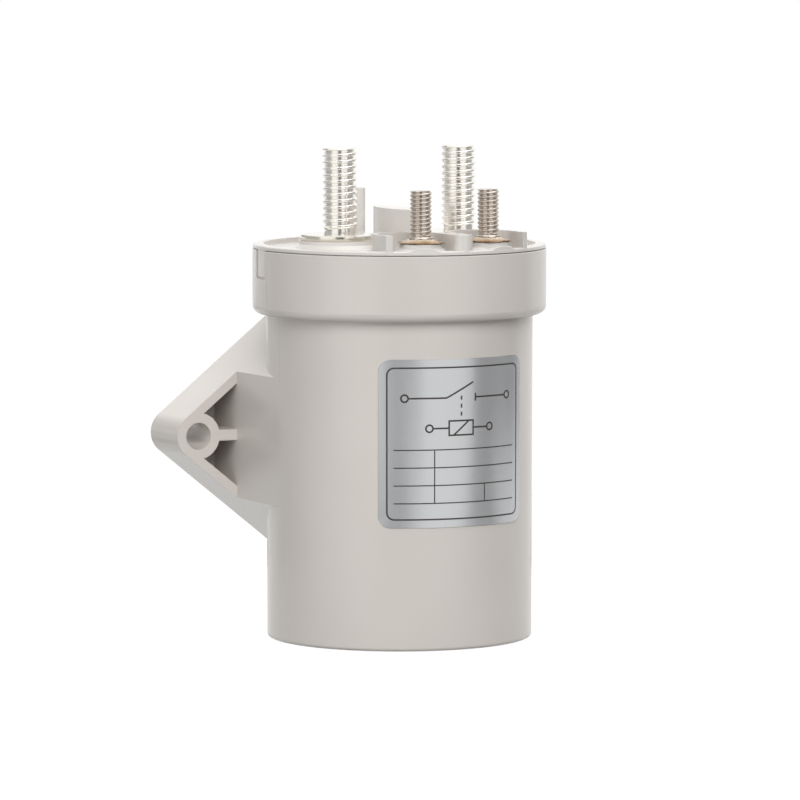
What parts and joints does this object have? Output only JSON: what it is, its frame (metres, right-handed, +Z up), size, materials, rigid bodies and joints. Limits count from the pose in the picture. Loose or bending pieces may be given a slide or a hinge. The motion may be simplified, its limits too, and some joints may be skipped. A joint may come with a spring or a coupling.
{
  "type": "high voltage dc contactor",
  "caption": "Sealed round dc contactor with threaded power and coil studs on its cover, side mounting ears, and a plunger with a spring-loaded contact bridge inside.",
  "frame": {"origin": "on the can's axis at the underside of its foot", "axes": "+Z up along the can's axis and the studs, -Y towards the label and the coil studs, +Y out of the mounting face, X along the two power studs"},
  "size_m": [0.0906, 0.0707, 0.112],
  "materials": {
    "grey_plastic": "satin, warm light grey",
    "plated_copper": "bright plated",
    "coil_stud_steel": "satin",
    "amber_resin": "gloss amber",
    "foil": "silver foil",
    "soft_iron": "satin",
    "black_plastic": "matte",
    "copper": "satin copper",
    "stainless": "satin",
    "spring_steel": "bright",
    "contact_alloy": "satin",
    "cream_insulator": "matte",
    "magnet": "matte",
    "black_resin": "gloss",
    "red_insulation": "matte"
  },
  "bodies": {
    "contactor": {"housing": "grey_plastic", "top_cover": "grey_plastic", "power_stud_left": "plated_copper", "power_stud_right": "plated_copper", "coil_stud_left": "coil_stud_steel", "coil_stud_right": "coil_stud_steel", "coil_seal_left": "amber_resin", "coil_seal_right": "amber_resin", "rating_label": "foil", "yoke_cup": "soft_iron", "bobbin": "black_plastic", "coil_winding": "copper", "pole_plate": "soft_iron", "fixed_core": "soft_iron", "guide_sleeve": "stainless", "return_spring": "spring_steel", "fixed_contact_left": "contact_alloy", "fixed_contact_right": "contact_alloy", "arc_chamber": "cream_insulator", "blowout_magnet_front": "magnet", "blowout_magnet_rear": "magnet", "header": "cream_insulator", "potting_resin": "black_resin", "coil_lead_left": "red_insulation", "coil_lead_right": "black_plastic"},
    "bridge": {"contact_bridge": "copper", "moving_contact_left": "contact_alloy", "moving_contact_right": "contact_alloy"},
    "armature": {"plunger": "soft_iron", "plunger_shaft": "stainless", "spring_seat": "stainless", "overtravel_spring": "spring_steel", "bridge_retainer": "stainless"}
  },
  "joints": [
    {"name": "contact_close", "type": "slide", "parent": "contactor", "child": "bridge", "axis": [0, 0, 1], "range_m": [0, 0.002], "stiffness_N_per_m": 600, "springref_m": -0.005, "deforming": ["return_spring"]},
    {"name": "plunger_overtravel", "type": "slide", "parent": "bridge", "child": "armature", "axis": [0, 0, 1], "range_m": [0, 0.001], "stiffness_N_per_m": 5000, "springref_m": -0.002, "deforming": ["overtravel_spring"]}
  ]
}
